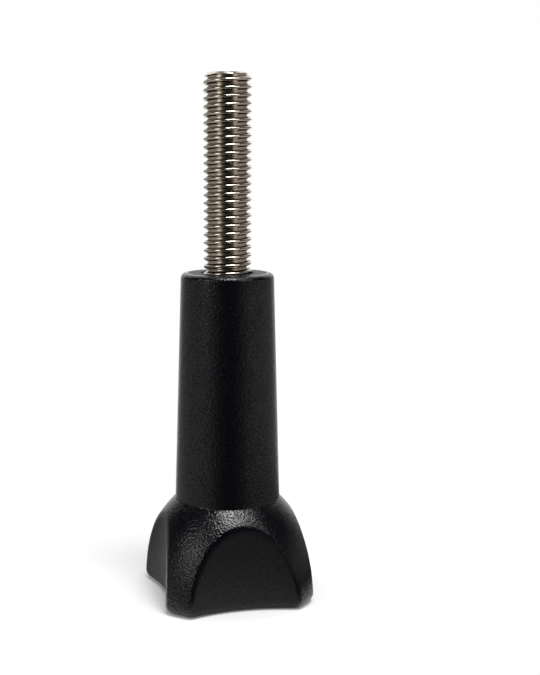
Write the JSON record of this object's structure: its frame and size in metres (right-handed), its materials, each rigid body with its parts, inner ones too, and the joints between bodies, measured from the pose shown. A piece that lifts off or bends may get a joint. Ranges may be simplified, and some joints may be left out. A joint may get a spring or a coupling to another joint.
{
  "type": "thumb screw",
  "caption": "Long thumb screw: a lobed moulded knob and tapered sleeve around a hexagon-head machine screw whose threaded end stands out of the sleeve.",
  "frame": {"origin": "centre of the knob's base, on the screw's axis", "axes": "+Z along the screw from the base to its tip; the finger scallops face +X, +Y, -X and -Y"},
  "size_m": [0.0158, 0.0158, 0.0539],
  "materials": {
    "moulded_plastic": "black moulded plastic, fine spark-eroded grain on the crown and sleeve, smoother in the finger scallops",
    "stainless_steel": "bright rolled stainless steel, slightly warm"
  },
  "bodies": {
    "root": {"handle": "moulded_plastic", "screw": "stainless_steel"}
  },
  "joints": []
}
